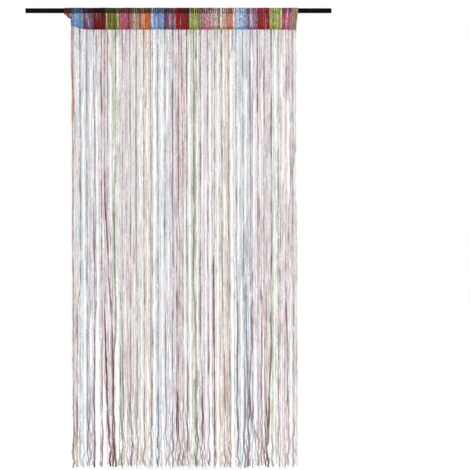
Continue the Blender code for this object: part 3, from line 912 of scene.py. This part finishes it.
# ------------------------------------------------------------------ strings
def build_strings(tinsel, foil, thread):
    rows = int(STRING_DROP / STITCH) + 3
    depth = np.arange(rows) * STITCH
    places, shown = routed(spaced(string_courses(depth), STRING_SPACE), depth)
    # number, kind (0 leading, 1 beside it, 2 pale), course and weight of every string
    strings = [(i, i % 2, course, STRINGS[i // 2][6 + i % 2]) for i, course in enumerate(places)]
    strings += [(100 + k, 2, course, 1.0) for k, course in pale_courses(places, depth)]
    strings.sort(key=lambda string: string[2].mean())

    groups = {}
    for at, (i, kind, course, heavy) in enumerate(strings):
        head = course[0] - BAND_LEFT
        name = stripe_at(head / MM)[0]
        group = groups.setdefault("orange" if name == "turned" else name, Strands())
        stitch = (STITCH if kind < 2 else 2.0 * STITCH) * (1.0 + 0.05 * signed(i, 17))
        drop = STRING_DROP + 0.8 * END_SPREAD * signed(i, 9)
        top = band_depth(BAND_LEFT + head) - 0.006
        n = int((drop + STRING_TOP - top) / stitch)
        d = top - STRING_TOP + np.arange(n) * stitch        # depth below the band's foot
        below = np.maximum(d, 0.0)
        x = np.interp(below, depth, course) + curl(i, d, 1.0)
        y = bow(x, below) + ease(d / 0.5) * (2.6 * MM * signed(i, 12) + 2.2 * MM * drift(d, i, 13, 0.8, 3))
        path = np.stack([x, y, -(STRING_TOP + d)], 1)
        turn = (1.0 * signed(i, 14) * ease(d / 0.04)
                + (0.3 + 0.7 * ease(d / 0.9)) * drift(d, i, 71, 0.55, 4))
        pulse = np.where(np.arange(n) % 2 == 0, 1.0, 0.82)
        lobe = np.where(np.arange(n) % 2 == 0, 0.80 * MM, -0.80 * MM) * (1.0 if chance(i, 16) > 0.5 else -1.0)
        tip = np.clip((n - np.arange(n)) / 2.0, 0.35, 1.0)
        marks = [(colour, dark, np.interp(d, depth, near)) for colour, dark, near in shown.get(i, ())]
        bold = np.clip(sum((dark ** 2 * near for _, dark, near in marks), np.zeros(n)), 0.0, 0.8)
        turn = turn * (1.0 - bold)
        tint, film_tint = shades(i, (x - BAND_LEFT) / MM, d / MM, marks, kind, heavy)
        if kind == 2:
            tint = 0.35 * tint + 0.65 * film_tint
        here = (np.interp(below, depth, course) - BAND_LEFT) / MM
        clear = (paleness(here, d / MM) + 0.22 * drift(d, i, 231, 0.29, 4) + 0.12 * signed(i, 235)
                 + 0.17 * drift(d, i, 237, 0.055, 2))
        dull, clear = np.clip(-clear, 0.0, 0.6), np.clip(clear, 0.0, 0.97)
        shown_clear = ((0.12, 0.45, 0.80)[kind] * clear * (1.0 - bold))[:, None]
        tint = tint * (1.0 - 0.45 * dull)[:, None] * (1.0 - shown_clear) + 0.92 * shown_clear
        room = []
        for side in (-1, 1):
            other = strings[at + side][2] if 0 <= at + side < len(strings) else course + side * 0.014
            other = (np.interp(below, depth, other) - BAND_LEFT) / MM
            room.append(room_beside(here, other, below / MM, side) * MM)
        core = (MAIN_HALF, BESIDE_HALF, PALE_HALF)[kind] * heavy ** 0.7
        swollen = np.minimum(core * (1.0 + 2.1 * bold), np.maximum(core, BOLD_HALF))
        rings, centre, wide, deep, along = ribbon_rings(
            path, swollen * pulse * tip, CORE_THIN * pulse * tip, turn, lobe)
        group.tube(rings, tint)

        # the foil tape knitted into the string, behind its core
        part = np.unique(np.append(np.arange(0, n, 2 if kind < 2 else 1), n - 1))
        ragged = 0.12 * (2.0 * chances(i, 215, n) - 1.0)
        left, right = (np.clip(room[k] * (0.80 + 0.34 * drift(d, i, 211 + 3 * k, 0.30, 4) + ragged),
                               0.8 * MM, 7.5 * MM)[part] for k in (0, 1))
        back = path[part] + np.array([0.0, 1.3 * MM, 0.0])
        rings = ribbon_rings(back, 0.5 * (left + right), FILM_THIN, 0.3 * turn[part], 0.5 * (right - left))[0]
        sheen = np.exp(0.10 * drift(d, i, 221, 0.21, 3) + 0.12 * drift(d, i, 225, 0.06, 2))
        sheen = sheen * (1.0 - 0.40 * dull)
        ice = 0.45 + 0.55 * film_tint / film_tint.max(axis=1, keepdims=True)
        film_tint = film_tint * (sheen * (1.0 - clear))[:, None] + 0.97 * clear[:, None] * ice
        group.tube(rings, film_tint[part], 1)

        # folded sequin flakes on each stitch, to the left and right in turn
        count = 2 if kind == 0 else 1
        for q in range(count):
            pick = np.arange(2 if q else 1, n - 2)
            m = len(pick)
            p, w, e, a = centre[pick], wide[pick], deep[pick], along[pick]
            tilt = (1.0 * (2.0 * chances(i, 20 + q, m) - 1.0))[:, None]
            hand = np.where(chances(i, 24 + q, m) > 0.5, 1.0, -1.0)[:, None]
            way = w * np.cos(tilt) * hand + e * np.sin(tilt)
            high = ((q + 0.6 * chances(i, 30 + q, m)) * stitch / count)[:, None]
            far = 0.70 + 0.70 * chances(i, 40 + q, m)
            free = np.where(way[:, 0] > 0.0, room[1][pick], room[0][pick])
            reach = free * far / np.maximum(0.45, np.abs(way[:, 0]))
            reach = np.minimum(reach, FLAKE_DEEP / np.maximum(0.1, np.abs(way[:, 1])))
            reach = np.clip(reach, 1.8 * MM, FLAKE_REACH)[:, None]
            lean = (1.8 * MM * (2.0 * chances(i, 70 + q, m) - 1.0))[:, None]
            half = FLAKE_HALF * np.clip(reach / (6.0 * MM), 0.6, 1.0)
            root = p + way * 0.4 * MM + a * high
            middle = p + way * 0.42 * reach + a * (high + 0.4 * lean)
            left, right = middle + a * half, middle - a * half
            tipped = p + way * reach + a * (high + lean)
            glint = chances(i, 50 + q, m)
            shine = film_tint[pick] * (0.80 + 0.30 * chances(i, 60 + q, m))[:, None]
            shine = np.where((glint > 0.90)[:, None], 0.35 * shine + 0.55, shine)
            group.kites(root, left, right, tipped, np.cross(a, way) * 0.35 * MM, shine)

    pieces = [group.build("strings_" + name, (tinsel, foil)) for name, group in groups.items()]

    # thin plain threads between the strings
    threads = Strands()
    step = 15.0 * MM
    gaps = [(k, 0.30 if chance(k, 89) > 0.5 else 0.70, 0) for k in range(len(places) - 1)]
    for k, share, extra in gaps:
        i = k + extra
        drop = STRING_DROP + END_SPREAD * signed(i, 93)
        n = int((drop + 0.008) / step)
        d = -0.008 + (drop + 0.008) * np.arange(n + 1) / n
        at = np.maximum(d, 0.0)
        between = places[k] * (1.0 - share) + places[k + 1] * share
        x = np.interp(at, depth, between) + curl(i + 200, d, 1.5)
        x = x + ease(d / 0.6) * drift(d, i + 200, 95, 0.6, 3) * 1.6 * MM
        x = BAND_LEFT + kept_out((x - BAND_LEFT) / MM, at / MM, 1.2) * MM
        y = bow(x, at) + ease(d / 0.5) * (4.0 * MM * signed(i, 94))
        path = np.stack([x, y, -(STRING_TOP + d)], 1)
        found = stripes_along((x - BAND_LEFT) / MM, d / MM)
        core, pale = (np.array([linear(YARN[row[0]][c]) for row in STRIPES])[found] for c in (1, 2))
        base = softened(0.25 * core + 0.75 * pale, 3)
        tint = base * np.clip(1.0 + 0.30 * drift(d, i, 97, 0.5, 3), 0.5, 1.6)[:, None]
        threads.tube(round_rings(path, THREAD_R * (0.8 + 0.5 * chance(i, 96))), tint)
    for k, (name, route) in enumerate(STRAYS):
        route = np.array(route)
        d = np.linspace(route[0, 1], route[-1, 1], 46) * MM
        x = np.interp(d / MM, route[:, 1], route[:, 0]) * MM
        soft = np.array([0.25, 0.5, 0.25])
        for _ in range(6):
            x[1:-1] = np.convolve(x, soft, "same")[1:-1]
        y = bow(BAND_LEFT + x, d) - (5.0 + k % 3) * MM
        path = np.stack([BAND_LEFT + x, y, -(STRING_TOP + d)], 1)
        tint = np.broadcast_to(linear(YARN[name][0]) * 0.5, (len(d), 3))
        rings = ribbon_rings(path, 1.25 * MM, 0.8 * MM, drift(d, k, 99, 0.2, 2))[0]
        threads.tube(rings, tint)
    pieces.append(threads.build("threads", (thread,)))
    return pieces


# --------------------------------------------------------------------- band
def band_loop(x, swell_of=None, inset=0.0):
    """Smooth outline of the cloth's middle at x: y and z, once
    round from the back of the rod over the top to the face and the foot."""
    depth = float(band_depth(x))
    shape = min(1.0, max(0.0, (depth - 16.0 * MM) / (50.0 * MM)))
    slack = 0.5 * MM + waves(x, ((0.118, 0.4, 0.4 * MM), (0.047, 1.3, 0.2 * MM)))
    radius = BAND_R - inset

    def half_width(t):
        round_part = radius * np.sqrt(np.maximum(0.0, 1.0 - t * t))
        taper = np.where(t < FOOT_AT, radius + (BAND_FOOT - radius) * t / FOOT_AT,
                         BAND_FOOT * np.sqrt(np.maximum(0.0, (1.0 - t) / (1.0 - FOOT_AT))))
        return (1.0 - shape) * round_part + shape * taper

    def swell(t, side):
        rows = ((0.163, 0.3 + 2.1 * side, 1.0 * MM), (0.071, 1.1 - side, 0.6 * MM))
        return shape * np.sin(math.pi * t) * (0.9 * MM + waves(x, rows))

    arc = np.radians(np.linspace(0.0, 180.0, 15))
    down = np.linspace(0.0, 1.0, 26)[1:]
    top_y, top_z = radius * np.cos(arc), (radius + slack * np.sin(arc)) * np.sin(arc)
    face_y, face_z = -half_width(down) - swell(down, -1.0), -depth * down
    back_y, back_z = (half_width(down) + swell(down, 1.0))[:-1][::-1], (-depth * down)[:-1][::-1]
    y = np.concatenate([top_y, face_y, back_y])
    z = np.concatenate([top_z, face_z, back_z])
    return y, z


def resampled(y, z, spacing, even=True):
    """Points at equal distances round a closed outline."""
    loop = np.stack([np.append(y, y[0]), np.append(z, z[0])], 1)
    steps = np.linalg.norm(np.diff(loop, axis=0), axis=1)
    at = np.concatenate([[0.0], np.cumsum(steps)])
    count = max(12, int(round(at[-1] / spacing)))
    if even and count % 2:
        count += 1
    want = np.linspace(0.0, at[-1], count, endpoint=False)
    return np.interp(want, at, loop[:, 0]), np.interp(want, at, loop[:, 1]), want


def band_colour(mm, k):
    """Yarn colour of rib k at mm, how much white is in it, and the painted shade
    over the rod: the share of its light left there."""
    here = stripe_at(mm)
    row = stripe_at(mm + (9.0 * signed(k, 115) if mm > 0.0 else 0.0))
    share = 0.35 + 0.4 * chance(k, 117) if row is not here else 0.0
    # tone holds painted light as well as the yarn's lightness; over is painted shade
    base = linear(YARN[here[0]][0]) * here[2] * (1.0 - share) + linear(YARN[row[0]][0]) * row[2] * share
    wash = here[3] * (1.0 - share) + row[3] * share + 0.06 * share
    return base * (1.0 + 0.24 * signed(k, 111)), wash * (0.7 + 0.6 * chance(k, 112)), here[4]


def band_tint(mm, fall, base, wash):
    """Tint along a rib at places mm and share fall of the band's depth."""
    light = np.ones_like(mm)
    for x, half, slant, bright, pale in BAND_STREAKS:
        near = np.clip(1.5 * (1.0 - np.abs(mm - x - slant * (fall - 0.5)) / half), 0.0, 1.0)
        light = light * (1.0 + (bright - 1.0) * near)
        wash = np.maximum(wash, pale * near)
    wash = (wash * (1.0 - 0.75 * ease((fall - 0.72) / 0.22)))[:, None]
    return (base * (1.0 - wash) + wash * 0.8) * light[:, None]


def painted_rod_shade(share, z):
    """Painted shade: share of light left at a height on the cloth, less over the black rod."""
    return 1.0 - (1.0 - share) * ease((z + 15.5 * MM) / (3.5 * MM))


def build_band(knit, weft):
    ribs = Strands()
    step = 4.9 * MM
    count = int((BAND_RIGHT - BAND_LEFT + 28.0 * MM) / step)
    for k in range(count + 1):
        x0 = BAND_LEFT - 27.5 * MM + k * step + 0.5 * MM * signed(k, 101)
        x0 = min(x0, BAND_RIGHT - 1.6 * MM)
        main_rib = k % 3 == 0
        y, z = band_loop(x0)
        y, z, at = resampled(y, z, 2.6 * MM if main_rib else 3.6 * MM)
        n = len(y)
        fall = np.clip(-z / BAND_DEPTH, 0.0, 1.0)
        lean = RIGHT_LEAN * ease((x0 - (BAND_RIGHT - 0.06)) / 0.06)
        slant = (1.9 * MM * math.sin(x0 * 61.0) + 1.5 * MM * math.sin(x0 * 143.0 + 1.0)
                 + 0.9 * MM * signed(k, 102))
        behind = ease((y + 5.0 * MM) / (10.0 * MM)) * ease((1.0 - fall) / 0.12)
        if x0 < BAND_LEFT + 8.0 * MM:
            slant = 0.0
        if x0 > BAND_RIGHT - 8.0 * MM:
            slant, behind = 0.0, 0.0
        x = x0 - lean * fall + slant * np.sin(math.pi * fall) + 0.5 * slant * fall + 2.45 * MM * behind
        path = np.stack([x, y, z], 1)
        nxt, prv = np.roll(path, -1, axis=0), np.roll(path, 1, axis=0)
        along = unit(nxt - prv)
        across = unit(np.array([1.0, 0.0, 0.0]) - along[:, :1] * along)
        out = np.cross(along, across)
        if (out[0] @ np.array([0.0, y[0], z[0]])) < 0.0:
            out, across = -out, -across
        pulse = np.where(np.arange(n) % 2 == 0, 1.0, 0.76)
        half = (2.60 if main_rib else 2.20) * MM * pulse * (0.94 + 0.12 * chance(k, 103))
        thin = (0.72 if main_rib else 0.55) * MM * pulse
        half = half[:, None]
        thin = thin[:, None]
        rings = np.stack([path + across * half, path + out * thin,
                          path - across * half, path - out * thin], 1)
        if np.cross(across[0], out[0]) @ along[0] < 0.0:
            rings = rings[:, ::-1]
        mm = (x0 - BAND_LEFT) / MM
        base, wash, over = band_colour(mm, k)
        comb = float(np.interp(mm, (0.0, 200.0, 270.0, 700.0, 750.0, 1000.0), (0.35, 0.35, 0.70, 0.70, 0.25, 0.40)))
        glow = 1.0 + (comb if k % 2 else -comb) * (0.6 + 0.5 * chance(k, 116)) * ease((z + 15.5 * MM) / (3.5 * MM))
        mottle = 0.20 * drift(at, k, 121, 0.05, 3) + 0.24 * drift(at, k, 131, 0.017, 3)
        # painted shade where the cloth lies over the black rod
        light = np.clip(1.0 + mottle, 0.4, 1.7) * painted_rod_shade(over, z) * glow
        light *= 1.0 - 0.22 * ease((fall - 0.80) / 0.18)
        wash = (wash + 0.012) * np.clip(1.0 + 0.6 * drift(at, k, 141, 0.03, 3), 0.0, 2.6)
        ribs.loop(rings, band_tint((x + lean * fall - BAND_LEFT) / MM, fall, base, wash) * light[:, None])
    ribs_piece = ribs.build("header_ribs", (knit,))

    # thin weft yarns that tie rib to rib, zigzag round the tube
    wefts = Strands()
    columns = 230
    xs = np.linspace(BAND_LEFT + 1.0 * MM, BAND_RIGHT - 2.0 * MM, columns)
    outlines = [band_loop(x, inset=0.1 * MM) for x in xs]
    lines = 26
    for j in range(lines):
        share = (j + 0.5) / lines
        pts = []
        for c, (x, (y, z)) in enumerate(zip(xs, outlines)):
            wig = 0.012 * (1 if c % 2 == 0 else -1)
            yy, zz, at = resampled(y, z, 1.5 * MM)
            index = int((share + wig) % 1.0 * len(yy))
            fall = min(1.0, max(0.0, -zz[index] / BAND_DEPTH))
            lean = RIGHT_LEAN * ease((x - (BAND_RIGHT - 0.06)) / 0.06)
            pts.append((x - lean * fall, yy[index], zz[index]))
        path = np.array(pts)
        along = unit(np.gradient(path, axis=0))
        up = np.array([0.0, 0.0, 1.0])
        side = unit(np.cross(along, up))
        other = np.cross(along, side)
        r = 0.42 * MM
        rings = np.stack([path + side * r, path + other * r, path - side * r, path - other * r], 1)
        tint = []
        for c, x in enumerate(xs):
            base, _, over = band_colour((x - BAND_LEFT) / MM, j * 37 + c)
            # painted shade where the weft lies over the black rod
            tint.append(base * float(painted_rod_shade(over, path[c, 2])))
        tint = np.stack(tint)
        wefts.tube(rings, tint)
    return ribs_piece, wefts.build("header_wefts", (weft,))


# ------------------------------------------------------------ studio, camera
def build_studio():
    bpy.ops.mesh.primitive_plane_add(size=40.0, location=(0.25, 8.0, -2.075))
    floor = bpy.context.object
    floor.name = "floor"
    floor.data.materials.append(floor_material())

    world = bpy.data.worlds.new("studio")
    bpy.context.scene.world = world
    world.use_nodes = True
    nodes, links = world.node_tree.nodes, world.node_tree.links
    nodes.clear()
    out = nodes.new("ShaderNodeOutputWorld")
    seen, light = nodes.new("ShaderNodeBackground"), nodes.new("ShaderNodeBackground")
    seen.inputs["Color"].default_value = (1.0, 1.0, 1.0, 1.0)
    seen.inputs["Strength"].default_value = 1.0
    # light tent: brightest overhead, softer at the horizon
    coords, split = nodes.new("ShaderNodeTexCoord"), nodes.new("ShaderNodeSeparateXYZ")
    links.new(coords.outputs["Generated"], split.inputs["Vector"])
    tent = ramp(nodes, links, split.outputs["Z"], ((0.0, 0.22), (0.5, 0.62), (1.0, 1.0)))
    links.new(tent.outputs["Color"], light.inputs["Color"])
    light.inputs["Strength"].default_value = 1.45
    path, both = nodes.new("ShaderNodeLightPath"), nodes.new("ShaderNodeMixShader")
    links.new(path.outputs["Is Camera Ray"], both.inputs["Fac"])
    links.new(light.outputs["Background"], both.inputs[1])
    links.new(seen.outputs["Background"], both.inputs[2])
    links.new(both.outputs["Shader"], out.inputs["Surface"])

    def softbox(name, place, aim, size, power):
        data = bpy.data.lights.new(name, "AREA")
        data.shape = "RECTANGLE"
        data.size, data.size_y = size
        data.energy = power
        obj = bpy.data.objects.new(name, data)
        obj.location = place
        obj.rotation_euler = (Vector(aim) - Vector(place)).to_track_quat("-Z", "Y").to_euler()
        bpy.context.scene.collection.objects.link(obj)

    softbox("key", (-2.2, -3.4, 0.9), (0.1, 0.0, -0.9), (1.6, 2.2), 45.0)
    softbox("fill", (2.9, -3.0, -0.4), (0.1, 0.0, -1.0), (1.4, 2.2), 30.0)

    data = bpy.data.cameras.new("camera")
    camera = bpy.data.objects.new("camera", data)
    bpy.context.scene.collection.objects.link(camera)
    distance, width = 7.0, 470 * 4.415 * MM
    camera.location = ((235.0 - 178.5) * 4.415 * MM, -distance, -(235.0 - 10.7) * 4.415 * MM)
    camera.rotation_euler = (math.radians(90.0), 0.0, 0.0)
    data.sensor_width = 36.0
    data.lens = 36.0 * distance / width
    data.clip_end = 60.0
    bpy.context.scene.camera = camera
    view = bpy.context.scene.view_settings
    view.view_transform = "Standard"
    view.look = "None"
    view.exposure, view.gamma = 0.0, 1.0


# --------------------------------------------------------------------- build
build_studio()
tinsel = yarn_material("tinsel_yarn", 0.20, 0.45, 520.0, 0.15, 0.5)
thread = yarn_material("plain_thread", 0.0, 0.60, 800.0, 0.10, 0.4)
knit = yarn_material("knit_yarn", 0.0, 0.55, 480.0, 0.012, 0.6)
foil = flake_material()

string_pieces = build_strings(tinsel, foil, thread)
ribs, wefts = build_band(knit, knit)

for piece in string_pieces:
    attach(piece, "root")
    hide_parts("strings")
for piece in (ribs, wefts):
    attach(piece, "root")
    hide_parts("header")

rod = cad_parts["rod"]
for material_slot in rod.material_slots:
    material_slot.material = rod_material()

for obj in [ribs, wefts] + string_pieces:
    print("piece", obj.name, sum(len(p.vertices) - 2 for p in obj.data.polygons), "triangles")
